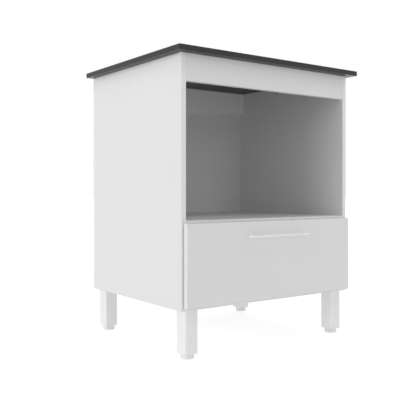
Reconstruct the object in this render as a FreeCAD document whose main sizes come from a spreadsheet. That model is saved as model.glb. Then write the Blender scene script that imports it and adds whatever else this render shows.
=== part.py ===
import FreeCAD, Part
import Sketcher
import math
import os

# Kitchen base cabinet for a cooktop: an open niche over one deep drawer, on four levelling legs.
# Everything is in millimetres. X runs to the right, Y to the back and Z up.
# The origin is on the floor, under the middle of the cabinet, its handle included.
# Boards, runners and fittings are drawn in the cabinet's own frame; legs and feet in their own.

# Overall sizes
overall_height = 840
worktop_width = 700
worktop_depth = 530
worktop_thickness = 15
worktop_rounding = 1.5
side_overhang = 25
front_overhang = 26

# Boards of the carcass
board = 15
board_rounding = 0.4
back_thickness = 3
back_margin = 2
rail_height = 75
niche_height = 374

# Legs and levelling feet
leg_height = 121
leg_width = 43
leg_wall = 2.5
leg_corner = 4
leg_plate = 4
leg_rib = 2
leg_from_side = 18
leg_from_front = 7.5
flute_radius = 2.4
flute_depth = 1
flute_pitch = 9.5
boss_radius = 7
boss_height = 60
foot_radius = 18.5
foot_height = 14
foot_rounding = 2.5
stem_radius = 4
stem_length = 40
stem_play = 0.08

# Drawer front, box and handle
front_thickness = 15
front_gap = 2
front_reveal = 7
front_rounding = 0.8
drawer_board = 12
drawer_floor = 3
drawer_headroom = 44
groove_depth = 6
groove_play = 0.2
groove_height = 12
handle_length = 241
handle_spacing = 192
handle_drop = 41
bar_height = 8
bar_depth = 7
bar_rounding = 2.4
handle_projection = 28
bend_radius = 70
bend_length = 26
post_radius = 3.8

# Roller runners
runner_gap = 12.5
runner_steel = 1.2
runner_bend = 1
runner_setback = 2
runner_lift = 10
runner_rear_gap = 53
track_width = 10.2
track_lip = 7
track_play = 0.55
box_lift = 7
box_flange = 11
box_lip = 9
roller_radius = 10
roller_width = 6
roller_inset = 14
roller_raise = 0.35
roller_gap = 0.15
roller_rounding = 0.6
axle_radius = 2.5
axle_play = 0.05
axle_shoulder = 1.2
axle_head_radius = 4
axle_head = 0.8
recess_play = 0.3
travel = 345
stop_length = 5
stop_height = 3

# Fittings
cam_radius = 7.5
cam_depth = 12.5
cam_play = 0.1
cam_from_end = 24
cam_edge = 60
cam_slot_length = 9
cam_slot_width = 1.4
cam_slot_depth = 1.2
bolt_thread_radius = 2.5
bolt_thread_length = 11
bolt_collar_radius = 3.4
bolt_collar_length = 2
bolt_neck_radius = 2
bolt_head_radius = 3
bolt_head_length = 5
fitting_play = 0.05
bore_play = 0.3
dowel_radius = 4
dowel_in_board = 20
dowel_in_side = 10
dowel_spacing = 32
rail_dowel_spacing = 48
drawer_cam_depth = 9.5
drawer_cam_edge = 35
small_dowel_radius = 3
screw_radius = 1.75
screw_head_radius = 3.5
screw_head = 1.6
screw_bite = 10
small_screw_bite = 8
screw_play = 0.3
leg_screw_offset = 11
runner_screw_first = 37
runner_screw_step = 176
runner_screw_rise = 8
bracket_leg = 20
bracket_steel = 2
bracket_width = 16
bracket_hole = 12
bracket_first = 100
bracket_second = 300
nail_radius = 0.8
nail_head_radius = 2
nail_head = 0.8
nail_length = 18
nail_edge = 25
long_screw_radius = 2
long_screw_head_radius = 3.8
long_screw_head = 2
long_screw_length = 38
long_screw_edge = 25
handle_screw_radius = 2
handle_screw_bite = 10
handle_screw_head_radius = 4
handle_screw_head = 2.4
bumper_radius = 3.5
bumper_thickness = 1.9
bumper_edge = 20

# Every number named above goes into the sheet, under a name that expressions can use
numbers = {name: number for name, number in globals().items() if isinstance(number, (int, float))}
doc = FreeCAD.newDocument("cooktop_cabinet")
sheet = doc.addObject("Spreadsheet::Sheet", "sizes")
for row, (name, number) in enumerate(numbers.items(), 1):
    sheet.set(f"A{row}", name)
    sheet.set(f"B{row}", str(number))
    sheet.setAlias(f"B{row}", name)
doc.recompute()
V = FreeCAD.Vector

# Planes of the carcass, as expressions over the sheet
half = "(sizes.worktop_width / 2 - sizes.side_overhang)"
inner = f"({half} - sizes.board)"
reach = "(sizes.handle_projection + sizes.front_thickness + sizes.front_gap - sizes.front_overhang)"
back = f"((sizes.worktop_depth + {reach}) / 2)"
front = f"({back} - sizes.worktop_depth + sizes.front_overhang)"
inner_back = f"({back} - sizes.back_thickness)"
depth = f"({inner_back} - {front})"
base_low = "(sizes.foot_height + sizes.leg_height)"
base_top = f"({base_low} + sizes.board)"
under_top = "(sizes.overall_height - sizes.worktop_thickness)"
rail_low = f"({under_top} - sizes.rail_height)"
shelf_top = f"({rail_low} - sizes.niche_height)"
shelf_low = f"({shelf_top} - sizes.board)"

# Planes of the drawer
front_back = f"({front} - sizes.front_gap)"
front_face = f"({front_back} - sizes.front_thickness)"
front_low = f"({base_low} + sizes.front_reveal)"
front_top = f"({shelf_top} - sizes.front_reveal)"
front_half = f"({half} - sizes.front_reveal)"
box_out = f"({inner} - sizes.runner_gap)"
box_in = f"({box_out} - sizes.drawer_board)"
box_low = f"({base_top} + sizes.runner_lift + sizes.box_lift)"
box_top = f"({shelf_low} - sizes.drawer_headroom)"
box_end = f"({inner_back} - sizes.runner_rear_gap)"
box_length = f"({box_end} - {front_back})"
groove_low = f"({box_low} + sizes.groove_height)"
handle_z = f"({front_top} - sizes.handle_drop)"

PLANES = {"X": "YZ_Plane", "Y": "XZ_Plane", "Z": "XY_Plane"}
bodies = []


def new_body(label, x="0", y="0", z="0"):
    """One piece of the cabinet, placed by three expressions."""
    body = doc.addObject("PartDesign::Body", label)
    body.Label = label
    for axis, place in zip("xyz", (x, y, z)):
        body.setExpression(f"Placement.Base.{axis}", place)
    bodies.append(body)
    return body


def origin_plane(body, role):
    """The body's own origin plane of that role."""
    return next(feature for feature in body.Origin.OriginFeatures if feature.Role == role)


def value(expression):
    """The number that an expression over the sheet gives now."""
    return float(sheet.evalExpression(expression))


def dimension(sketch, kind, ends, expression):
    """A driving dimension whose value is an expression over the sheet."""
    index = sketch.addConstraint(Sketcher.Constraint(kind, *ends, value(expression)))
    sketch.setExpression(f"Constraints[{index}]", expression)


def pin_point(sketch, geometry, end, x, y):
    """Hold one end of a line or arc, or a circle's centre, at x and y from the origin."""
    dimension(sketch, "DistanceX", (-1, 1, geometry, end), x)
    dimension(sketch, "DistanceY", (-1, 1, geometry, end), y)


def circle(x, y, radius):
    """A circle at a centre, for pad and pocket."""

    def draw(sketch):
        centre = V(value(x), value(y), 0)
        index = sketch.addGeometry(Part.Circle(centre, V(0, 0, 1), value(radius)))
        pin_point(sketch, index, 3, x, y)
        dimension(sketch, "Radius", (index,), radius)

    return draw


def circles(points, radius):
    """Equal circles at several centres."""
    return [circle(x, y, radius) for x, y in points]


def outline(*points):
    """A closed line through corners given as pairs of expressions."""

    def draw(sketch):
        first = sketch.GeometryCount
        count = len(points)
        corners = [V(value(x), value(y), 0) for x, y in points]
        for i in range(count):
            sketch.addGeometry(Part.LineSegment(corners[i], corners[(i + 1) % count]))
        for i in range(count):
            following = first + (i + 1) % count
            sketch.addConstraint(Sketcher.Constraint("Coincident", first + i, 2, following, 1))
        for i, (x, y) in enumerate(points):
            pin_point(sketch, first + i, 1, x, y)

    return draw


def rectangle(x, y, width, height):
    """An upright rectangle from its low corner."""
    right, high = f"{x} + {width}", f"{y} + {height}"
    return outline((x, y), (right, y), (right, high), (x, high))


def new_sketch(body, axis, at, shapes):
    """A sketch square to an axis of the body, at a place along it, with closed shapes in it."""
    sketch = body.newObject("Sketcher::SketchObject", "sketch")
    sketch.AttachmentSupport = (origin_plane(body, PLANES[axis]), [""])
    sketch.MapMode = "FlatFace"
    sketch.setExpression("AttachmentOffset.Base.z", f"-({at})" if axis == "Y" else at)
    for draw in shapes:
        draw(sketch)
    return sketch


def pad(body, axis, at, length, toward, *shapes):
    """Add material from a plane, towards the plus or the minus side of the axis."""
    feature = body.newObject("PartDesign::Pad", "pad")
    feature.Profile = new_sketch(body, axis, at, shapes)
    feature.setExpression("Length", length)
    feature.Reversed = (toward > 0) == (axis == "Y")
    body.Tip = feature
    return feature


def pocket(body, axis, at, length, toward, *shapes):
    """Cut material from a plane, towards the plus or the minus side of the axis."""
    feature = body.newObject("PartDesign::Pocket", "pocket")
    feature.Profile = new_sketch(body, axis, at, shapes)
    feature.setExpression("Length", length)
    feature.Reversed = (toward > 0) != (axis == "Y")
    body.Tip = feature
    return feature


def mirror(body, *features):
    """Repeat features on the other side of the cabinet's middle plane."""
    feature = body.newObject("PartDesign::Mirrored", "mirror")
    feature.Originals = list(features)
    feature.MirrorPlane = (origin_plane(body, "YZ_Plane"), [""])
    body.Tip = feature


def round_edges(body, radius, chosen):
    """Round those edges of the body that the test picks, given an edge and the body's box."""
    doc.recompute()
    base = body.Tip
    box = base.Shape.BoundBox
    names = [f"Edge{i}" for i, edge in enumerate(base.Shape.Edges, 1) if chosen(edge, box)]
    feature = body.newObject("PartDesign::Fillet", "rounding")
    feature.Base = (base, names)
    feature.setExpression("Radius", radius)
    body.Tip = feature


def along(edge, direction):
    """Whether a straight edge runs along a direction."""
    straight = edge.Curve.TypeId == "Part::GeomLine"
    return straight and abs(edge.tangentAt(edge.FirstParameter).dot(direction)) > 0.999


def at_front(edge, box):
    return edge.CenterOfMass.y < box.YMin + 0.01


def off_back(edge, box):
    return edge.CenterOfMass.y < box.YMax - 0.01


def signed(side, expression):
    """An expression on the right, or its mirror image on the left."""
    return expression if side > 0 else f"-({expression})"


def both_sides(*points):
    """Points and their mirror images across the middle."""
    return [(signed(side, x), y) for side in (-1, 1) for x, y in points]


SIDES = (("left", -1), ("right", 1))

# Where the fittings sit. Holes, cams, bolts, dowels and screws all read these places.
cam_front = f"({front} + sizes.cam_edge)"
cam_rear = f"({inner_back} - sizes.cam_edge)"
cam_x = f"({inner} - sizes.cam_from_end)"
base_mid = f"({base_low} + sizes.board / 2)"
shelf_mid = f"({shelf_low} + sizes.board / 2)"
rail_mid = f"({under_top} - sizes.rail_height / 2)"
front_rail_back = f"({front} + sizes.board)"
back_rail_front = f"({inner_back} - sizes.board)"
front_rail_mid = f"({front} + sizes.board / 2)"
back_rail_mid = f"({inner_back} - sizes.board / 2)"

shelf_bolts = [(y, shelf_mid) for y in (cam_front, cam_rear)]
base_bolts = [(y, base_mid) for y in (cam_front, cam_rear)]
front_rail_bolts = [(front_rail_mid, rail_mid)]
back_rail_bolts = [(back_rail_mid, rail_mid)]
carcass_bolts = base_bolts + shelf_bolts + front_rail_bolts + back_rail_bolts


def board_dowels(middle):
    """Two dowels in the end of a lying board, one inside each cam."""
    near = f"({cam_front} + sizes.dowel_spacing)"
    far = f"({cam_rear} - sizes.dowel_spacing)"
    return [(near, middle), (far, middle)]


def rail_dowels(middle):
    """Two dowels in the end of a rail, above and below its cam."""
    step = "sizes.rail_dowel_spacing / 2"
    return [(middle, f"{rail_mid} - {step}"), (middle, f"{rail_mid} + {step}")]


carcass_dowels = board_dowels(base_mid) + board_dowels(shelf_mid)
carcass_dowels += rail_dowels(front_rail_mid) + rail_dowels(back_rail_mid)

bracket_places = [f"({front} + sizes.bracket_first)", f"({front} + sizes.bracket_second)"]
bracket_screw_x = f"({inner} - sizes.bracket_hole)"
bracket_screw_z = f"({under_top} - sizes.bracket_hole)"
bracket_front_y = f"({front_rail_back} + sizes.bracket_hole)"
bracket_back_y = f"({back_rail_front} - sizes.bracket_hole)"
bracket_up = both_sides(*[(bracket_screw_x, y) for y in bracket_places])
bracket_up += [("0", bracket_front_y), ("0", bracket_back_y)]
bracket_side = [(y, bracket_screw_z) for y in bracket_places]

NAILS_UP_A_SIDE = 6
side_nail_step = f"(({under_top} - {base_low} - 2 * sizes.nail_edge) / {NAILS_UP_A_SIDE - 1})"
side_nail_x = f"({inner} + sizes.board / 2)"
side_nails = [(side_nail_x, f"{base_low} + sizes.nail_edge + {i} * {side_nail_step}")
              for i in range(NAILS_UP_A_SIDE)]


def board_nails(middle):
    """Three nails along the rear edge of a board."""
    return both_sides((f"{inner} / 2", middle)) + [("0", middle)]


nails = both_sides(*side_nails)
for middle in (base_mid, shelf_mid, rail_mid):
    nails += board_nails(middle)

leg_x = f"({half} - sizes.leg_from_side - sizes.leg_width / 2)"
leg_front_y = f"({front} + sizes.leg_from_front + sizes.leg_width / 2)"
leg_back_y = f"({inner_back} - sizes.leg_from_front - sizes.leg_width / 2)"
leg_places = {
    "front_left": (signed(-1, leg_x), leg_front_y),
    "front_right": (leg_x, leg_front_y),
    "back_left": (signed(-1, leg_x), leg_back_y),
    "back_right": (leg_x, leg_back_y),
}
leg_screws = [(f"{x} + {a} * sizes.leg_screw_offset", f"{y} + {b} * sizes.leg_screw_offset")
              for x, y in leg_places.values() for a in (-1, 1) for b in (-1, 1)]

track_low = f"({base_top} + sizes.runner_lift)"
track_floor = f"({track_low} + sizes.runner_steel)"
track_y = f"({front} + sizes.runner_setback)"
track_length = f"({box_end} - {front_back})"
runner_screw_z = f"({track_floor} + sizes.roller_radius + sizes.roller_gap)"
runner_screw_steps = [f"sizes.runner_screw_first + {i} * sizes.runner_screw_step" for i in range(3)]
track_screws = [(f"({track_y} + {step})", runner_screw_z) for step in runner_screw_steps]
box_screw_z = f"({box_low} + sizes.runner_screw_rise)"
box_screws = [(f"({front_back} + {step})", box_screw_z) for step in runner_screw_steps]

drawer_cam_y = f"({front_back} + sizes.cam_from_end)"
drawer_cam_z = [f"({box_low} + sizes.drawer_cam_edge)", f"({box_top} - sizes.drawer_cam_edge)"]
box_mid_x = f"({box_out} - sizes.drawer_board / 2)"
box_mid_z = f"(({box_low} + {box_top}) / 2)"
drawer_back_low = f"({groove_low} + sizes.drawer_floor)"
drawer_back_mid = f"({box_end} - sizes.drawer_board / 2)"
long_screws = [(drawer_back_mid, f"({drawer_back_low} + sizes.long_screw_edge)"),
               (drawer_back_mid, f"({box_top} - sizes.long_screw_edge)")]
floor_screws = [("0", drawer_back_mid)] + both_sides((f"{box_in} / 2", drawer_back_mid))
handle_holes = both_sides(("sizes.handle_spacing / 2", handle_z))

thread_hole = "sizes.bolt_thread_radius + sizes.fitting_play"
thread_depth = "sizes.bolt_thread_length + sizes.fitting_play"
bolt_bore = "sizes.bolt_collar_radius + sizes.bore_play"
dowel_hole = "sizes.dowel_radius + sizes.fitting_play"
pilot = "sizes.screw_radius + sizes.fitting_play"
pilot_depth = "sizes.screw_bite + sizes.fitting_play"
nail_hole = "sizes.nail_radius + sizes.fitting_play"
nail_bite = "sizes.nail_length - sizes.back_thickness"

# Worktop: a thin laminated board that hangs over the sides and the front
worktop = new_body("worktop")
pad(worktop, "Z", under_top, "sizes.worktop_thickness", 1,
    rectangle("-sizes.worktop_width / 2", f"{back} - sizes.worktop_depth",
              "sizes.worktop_width", "sizes.worktop_depth"))
round_edges(worktop, "sizes.worktop_rounding", off_back)
pocket(worktop, "Z", under_top, pilot_depth, 1, *circles(bracket_up, pilot))

# Side panels: the full height from the legs to the worktop, drilled on the inside only
for name, side in SIDES:
    panel = new_body(f"side_panel_{name}")
    face = signed(side, inner)
    pad(panel, "X", face, "sizes.board", side,
        rectangle(front, base_low, depth, f"({under_top} - {base_low})"))
    round_edges(panel, "sizes.board_rounding", at_front)
    pocket(panel, "X", face, thread_depth, side, *circles(carcass_bolts, thread_hole))
    pocket(panel, "X", face, "sizes.dowel_in_side + sizes.fitting_play", side,
           *circles(carcass_dowels, dowel_hole))
    pocket(panel, "X", face, pilot_depth, side, *circles(track_screws + bracket_side, pilot))
    pocket(panel, "Y", inner_back, nail_bite, -1,
           *circles([(signed(side, x), z) for x, z in side_nails], nail_hole))


def drill_ends(body, bolts, dowels):
    """Bores for the cam bolts and dowels in both ends of a board between the sides."""
    bores = pocket(body, "X", inner, "sizes.cam_from_end", -1, *circles(bolts, bolt_bore))
    holes = pocket(body, "X", inner, "sizes.dowel_in_board + sizes.fitting_play", -1,
                   *circles(dowels, dowel_hole))
    mirror(body, bores, holes)


def lying_board(label, low):
    """A board as wide as the gap between the sides and as deep as the carcass."""
    body = new_body(label)
    pad(body, "Z", low, "sizes.board", 1, rectangle(f"-{inner}", front, f"2 * {inner}", depth))
    round_edges(body, "sizes.board_rounding", at_front)
    return body


def drill_nails(body, middle):
    """Holes for the nails of the back in a board's rear edge."""
    pocket(body, "Y", inner_back, nail_bite, -1, *circles(board_nails(middle), nail_hole))


# Base panel: its cams open upwards, and the legs screw to it from below
cams_of_a_board = both_sides((cam_x, cam_front), (cam_x, cam_rear))
base_panel = lying_board("base_panel", base_low)
pocket(base_panel, "Z", base_top, "sizes.cam_depth", -1,
       *circles(cams_of_a_board, "sizes.cam_radius"))
drill_ends(base_panel, base_bolts, board_dowels(base_mid))
pocket(base_panel, "Z", base_low, pilot_depth, 1, *circles(leg_screws, pilot))
drill_nails(base_panel, base_mid)

# Niche shelf: its cams open downwards, over the drawer
niche_shelf = lying_board("niche_shelf", shelf_low)
pocket(niche_shelf, "Z", shelf_low, "sizes.cam_depth", 1,
       *circles(cams_of_a_board, "sizes.cam_radius"))
drill_ends(niche_shelf, shelf_bolts, board_dowels(shelf_mid))
drill_nails(niche_shelf, shelf_mid)


def rail(label, face):
    """A rail on edge between the sides, right under the worktop."""
    body = new_body(label)
    pad(body, "Y", face, "sizes.board", 1,
        rectangle(f"-{inner}", rail_low, f"2 * {inner}", "sizes.rail_height"))
    round_edges(body, "sizes.board_rounding", at_front)
    return body


# Front rail: it hides the worktop's underside and carries its cams on the back
rail_cams = both_sides((cam_x, rail_mid))
front_rail = rail("front_rail", front)
pocket(front_rail, "Y", front_rail_back, "sizes.cam_depth", -1,
       *circles(rail_cams, "sizes.cam_radius"))
drill_ends(front_rail, front_rail_bolts, rail_dowels(front_rail_mid))
pocket(front_rail, "Y", front_rail_back, pilot_depth, -1, circle("0", bracket_screw_z, pilot))

# Back rail: the same board against the back, with its cams behind the back panel
back_rail = rail("back_rail", back_rail_front)
pocket(back_rail, "Y", inner_back, "sizes.cam_depth", -1,
       *circles(rail_cams, "sizes.cam_radius"))
drill_ends(back_rail, back_rail_bolts, rail_dowels(back_rail_mid))
pocket(back_rail, "Y", back_rail_front, pilot_depth, 1, circle("0", bracket_screw_z, pilot))
drill_nails(back_rail, rail_mid)

# Back panel: thin board nailed over the rear edges, each nail head flush in it
back_panel = new_body("back_panel")
panel_half = f"({half} - sizes.back_margin)"
pad(back_panel, "Y", inner_back, "sizes.back_thickness", 1,
    rectangle(f"-{panel_half}", f"{base_low} + sizes.back_margin", f"2 * {panel_half}",
              f"({under_top} - {base_low} - 2 * sizes.back_margin)"))
pocket(back_panel, "Y", back, "sizes.nail_head", -1,
       *circles(nails, "sizes.nail_head_radius + sizes.fitting_play"))
pocket(back_panel, "Y", back, "sizes.back_thickness", -1, *circles(nails, nail_hole))

back_nails = new_body("back_nails")
pad(back_nails, "Y", back, "sizes.nail_head", -1, *circles(nails, "sizes.nail_head_radius"))
pad(back_nails, "Y", back, "sizes.nail_length", -1, *circles(nails, "sizes.nail_radius"))


def new_leg(label, x, y):
    """A moulded leg: a fluted square tube, closed on top, with a ribbed boss for the foot."""
    body = new_body(label, x, y, "sizes.foot_height")
    width = "sizes.leg_width"
    pad(body, "Z", "0", "sizes.leg_height", 1,
        rectangle(f"-{width} / 2", f"-{width} / 2", width, width))
    round_edges(body, "sizes.leg_corner", lambda edge, box: along(edge, V(0, 0, 1)))
    flute_y = f"{width} / 2 + sizes.flute_radius - sizes.flute_depth"
    flutes = pocket(body, "Z", "0", "sizes.leg_height", 1,
                    *circles([(f"{i} * sizes.flute_pitch", flute_y) for i in (-1, 0, 1)],
                             "sizes.flute_radius"))
    pattern = body.newObject("PartDesign::PolarPattern", "flutes_around")
    pattern.Originals = [flutes]
    pattern.Axis = (origin_plane(body, "Z_Axis"), [""])
    pattern.Angle = 360
    pattern.Occurrences = 4
    body.Tip = pattern
    room = f"({width} - 2 * sizes.leg_wall)"
    pocket(body, "Z", "0", "sizes.leg_height - sizes.leg_plate", 1,
           rectangle(f"-{room} / 2", f"-{room} / 2", room, room))
    pad(body, "Z", "0", "sizes.boss_height", 1, circle("0", "0", "sizes.boss_radius"))
    rib = "sizes.leg_rib"
    pad(body, "Z", "0", "sizes.boss_height", 1,
        rectangle(f"-{room} / 2", f"-{rib} / 2", room, rib))
    pad(body, "Z", "0", "sizes.boss_height", 1,
        rectangle(f"-{rib} / 2", f"-{room} / 2", rib, room))
    pocket(body, "Z", "0", "sizes.boss_height", 1,
           circle("0", "0", "sizes.stem_radius + sizes.stem_play"))
    offset = "sizes.leg_screw_offset"
    corners = [(f"{a} * {offset}", f"{b} * {offset}") for a in (-1, 1) for b in (-1, 1)]
    pocket(body, "Z", "sizes.leg_height - sizes.leg_plate", "sizes.leg_plate", 1,
           *circles(corners, "sizes.screw_radius + sizes.screw_play"))


def new_foot(label, x, y):
    """A levelling foot: a round pad with a rolled rim on a stem that turns in the leg's boss."""
    body = new_body(label, x, y)
    radius, height, stem = "sizes.foot_radius", "sizes.foot_height", "sizes.stem_radius"
    top = "sizes.foot_height + sizes.stem_length"
    profile = new_sketch(body, "Y", "0", [outline(
        ("0", "0"), (radius, "0"), (radius, height), (stem, height), (stem, top), ("0", top))])
    turned = body.newObject("PartDesign::Revolution", "turned")
    turned.Profile = profile
    turned.ReferenceAxis = (profile, ["V_Axis"])
    turned.Angle = 360
    body.Tip = turned

    def rim(edge, box):
        return edge.CenterOfMass.z < box.ZMin + 0.01 and edge.BoundBox.XLength > box.XLength / 2

    round_edges(body, "sizes.foot_rounding", rim)


# Legs, feet and the screws that hold each leg's top plate under the base
for name, (x, y) in leg_places.items():
    new_leg(f"leg_{name}", x, y)
    new_foot(f"foot_{name}", x, y)

leg_screw_body = new_body("leg_screws")
plate_low = f"({base_low} - sizes.leg_plate)"
pad(leg_screw_body, "Z", plate_low, "sizes.leg_plate + sizes.screw_bite", 1,
    *circles(leg_screws, "sizes.screw_radius"))
pad(leg_screw_body, "Z", plate_low, "sizes.screw_head", -1,
    *circles(leg_screws, "sizes.screw_head_radius"))


def cut_bolt_room(body, axis, at, length, toward, points):
    """Room inside the cams for the heads of the bolts."""
    return pocket(body, axis, at, length, toward,
                  *circles(points, "sizes.bolt_head_radius + sizes.cam_play"))


def cut_slots(body, axis, at, toward, points):
    """A driver slot across the face of each cam."""
    length, width = "sizes.cam_slot_length", "sizes.cam_slot_width"
    slots = [rectangle(f"{x} - {length} / 2", f"{y} - {width} / 2", length, width)
             for x, y in points]
    pocket(body, axis, at, "sizes.cam_slot_depth", toward, *slots)


# Cams that pull the boards to the sides, one round each bolt head
cams = new_body("carcass_cams")
cam_body_radius = "sizes.cam_radius - sizes.cam_play"
cam_height = "sizes.cam_depth - sizes.cam_play"
pad(cams, "Z", base_top, cam_height, -1, *circles(cams_of_a_board, cam_body_radius))
pad(cams, "Z", shelf_low, cam_height, 1, *circles(cams_of_a_board, cam_body_radius))
for face in (front_rail_back, inner_back):
    pad(cams, "Y", face, cam_height, -1, *circles(rail_cams, cam_body_radius))
room = cut_bolt_room(cams, "X", f"{cam_x} - sizes.bolt_head_length / 2 - sizes.cam_play",
                     "2 * sizes.cam_radius", 1, carcass_bolts)
mirror(cams, room)
cut_slots(cams, "Z", base_top, -1, cams_of_a_board)
cut_slots(cams, "Z", shelf_low, 1, cams_of_a_board)
cut_slots(cams, "Y", front_rail_back, -1, rail_cams)
cut_slots(cams, "Y", inner_back, -1, rail_cams)


def bolts(body, axis, at, toward, points):
    """Cam bolts: thread one way from the joint, collar, neck and head the other way."""
    neck = f"{at} - ({toward}) * sizes.bolt_collar_length"
    head = f"{at} - ({toward}) * (sizes.cam_from_end - sizes.bolt_head_length / 2)"
    neck_length = "sizes.cam_from_end - sizes.bolt_head_length / 2 - sizes.bolt_collar_length"
    thread = pad(body, axis, at, "sizes.bolt_thread_length", toward,
                 *circles(points, "sizes.bolt_thread_radius"))
    collar = pad(body, axis, at, "sizes.bolt_collar_length", -toward,
                 *circles(points, "sizes.bolt_collar_radius"))
    shank = pad(body, axis, neck, neck_length, -toward, *circles(points, "sizes.bolt_neck_radius"))
    ball = pad(body, axis, head, "sizes.bolt_head_length", -toward,
               *circles(points, "sizes.bolt_head_radius"))
    return thread, collar, shank, ball


cam_bolts = new_body("carcass_cam_bolts")
mirror(cam_bolts, *bolts(cam_bolts, "X", inner, 1, carcass_bolts))

dowels = new_body("carcass_dowels")
mirror(dowels, pad(dowels, "X", f"{inner} - sizes.dowel_in_board",
                   "sizes.dowel_in_board + sizes.dowel_in_side", 1,
                   *circles(carcass_dowels, "sizes.dowel_radius")))


def angle(corner_x, corner_y, x_way):
    """The outline of a steel angle whose corner lies under the worktop."""
    leg, steel = "sizes.bracket_leg", "sizes.bracket_steel"
    along_x, thick_x = f"{corner_x} + ({x_way}) * {leg}", f"{corner_x} + ({x_way}) * {steel}"
    return outline((corner_x, corner_y), (along_x, corner_y), (along_x, f"{corner_y} - {steel}"),
                   (thick_x, f"{corner_y} - {steel}"), (thick_x, f"{corner_y} - {leg}"),
                   (corner_x, f"{corner_y} - {leg}"))


# Steel angles that hold the worktop to the sides and rails, and their screws
brackets = new_body("worktop_brackets")
for y in bracket_places:
    pad(brackets, "Y", f"{y} - sizes.bracket_width / 2", "sizes.bracket_width", 1,
        angle(inner, under_top, -1), angle(f"-{inner}", under_top, 1))
pad(brackets, "X", "-sizes.bracket_width / 2", "sizes.bracket_width", 1,
    angle(front_rail_back, under_top, 1), angle(back_rail_front, under_top, -1))
bracket_hole = "sizes.screw_radius + sizes.screw_play"
pocket(brackets, "Z", under_top, "sizes.bracket_steel", -1, *circles(bracket_up, bracket_hole))
mirror(brackets, pocket(brackets, "X", inner, "sizes.bracket_steel", -1,
                        *circles(bracket_side, bracket_hole)))
for face, toward in ((front_rail_back, 1), (back_rail_front, -1)):
    pocket(brackets, "Y", face, "sizes.bracket_steel", toward,
           circle("0", bracket_screw_z, bracket_hole))

bracket_screws = new_body("bracket_screws")


def screws(body, axis, seat, toward, points, grip, bite="sizes.screw_bite"):
    """Screws from the face of what they hold: shank one way, flat head the other."""
    shank = pad(body, axis, seat, f"{grip} + {bite}", toward,
                *circles(points, "sizes.screw_radius"))
    head = pad(body, axis, seat, "sizes.screw_head", -toward,
               *circles(points, "sizes.screw_head_radius"))
    return shank, head


screws(bracket_screws, "Z", f"{under_top} - sizes.bracket_steel", 1, bracket_up,
       "sizes.bracket_steel")
mirror(bracket_screws, *screws(bracket_screws, "X", f"{inner} - sizes.bracket_steel", 1,
                               bracket_side, "sizes.bracket_steel"))
screws(bracket_screws, "Y", f"{front_rail_back} + sizes.bracket_steel", -1,
       [("0", bracket_screw_z)], "sizes.bracket_steel")
screws(bracket_screws, "Y", f"{back_rail_front} - sizes.bracket_steel", 1,
       [("0", bracket_screw_z)], "sizes.bracket_steel")

# Roller heights: the drawer's roller runs on the track, the cabinet's roller carries the drawer
steel = "sizes.runner_steel"
box_roller_z = f"({track_floor} + sizes.roller_gap + sizes.roller_radius)"
track_roller_z = f"({box_roller_z} + sizes.roller_raise)"
lip_low = f"({track_roller_z} + sizes.roller_radius + sizes.roller_gap)"
track_ceiling = f"({lip_low} + {steel} + sizes.track_play)"
track_roller_y = f"({track_y} + sizes.roller_inset)"
box_roller_y = f"({box_end} - sizes.roller_inset)"
stop_reach = "sqrt(sizes.roller_radius ^ 2 - (sizes.roller_radius - sizes.stop_height) ^ 2)"
stop_rear = f"({box_roller_y} - sizes.travel - {stop_reach} - sizes.roller_gap)"


def bend(corner_x, corner_z):
    """A test that picks the long edge of a folded profile at one outer corner."""

    def chosen(edge, box):
        near = edge.CenterOfMass
        level = abs(near.z - (box.ZMax if corner_z > 0 else box.ZMin)) < 0.01
        wall = abs(near.x - (box.XMax if corner_x > 0 else box.XMin)) < 0.01
        return along(edge, V(0, 1, 0)) and level and wall

    return chosen


# Cabinet runners: folded steel channels screwed to the sides, with a stop near the front
for name, side in SIDES:
    track = new_body(f"cabinet_runner_{name}")
    wall, wall_in = signed(side, inner), signed(side, f"{inner} - {steel}")
    floor_edge = signed(side, f"{inner} - sizes.track_width")
    lip_edge = signed(side, f"{inner} - sizes.track_lip")
    pad(track, "Y", track_y, track_length, 1, outline(
        (wall, track_low), (wall, f"{track_ceiling} + {steel}"),
        (lip_edge, f"{track_ceiling} + {steel}"), (lip_edge, track_ceiling),
        (wall_in, track_ceiling), (wall_in, track_floor),
        (floor_edge, track_floor), (floor_edge, track_low)))
    round_edges(track, "sizes.runner_bend", bend(side, 1))
    round_edges(track, "sizes.runner_bend", bend(side, -1))
    stop_x = signed(side, f"{inner} - ({steel} + sizes.track_width) / 2")
    pad(track, "Z", track_floor, "sizes.stop_height", 1,
        rectangle(f"{stop_x} - sizes.roller_width / 2", f"{stop_rear} - sizes.stop_length",
                  "sizes.roller_width", "sizes.stop_length"))
    pocket(track, "X", wall, steel, -side, *circles(
        track_screws, "sizes.screw_radius + sizes.screw_play"))
    pocket(track, "X", wall, steel, -side,
           circle(track_roller_y, track_roller_z, "sizes.axle_radius + sizes.fitting_play"))

track_screw_body = new_body("cabinet_runner_screws")
mirror(track_screw_body, *screws(track_screw_body, "X", f"{inner} - {steel}", 1, track_screws, steel))

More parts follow.
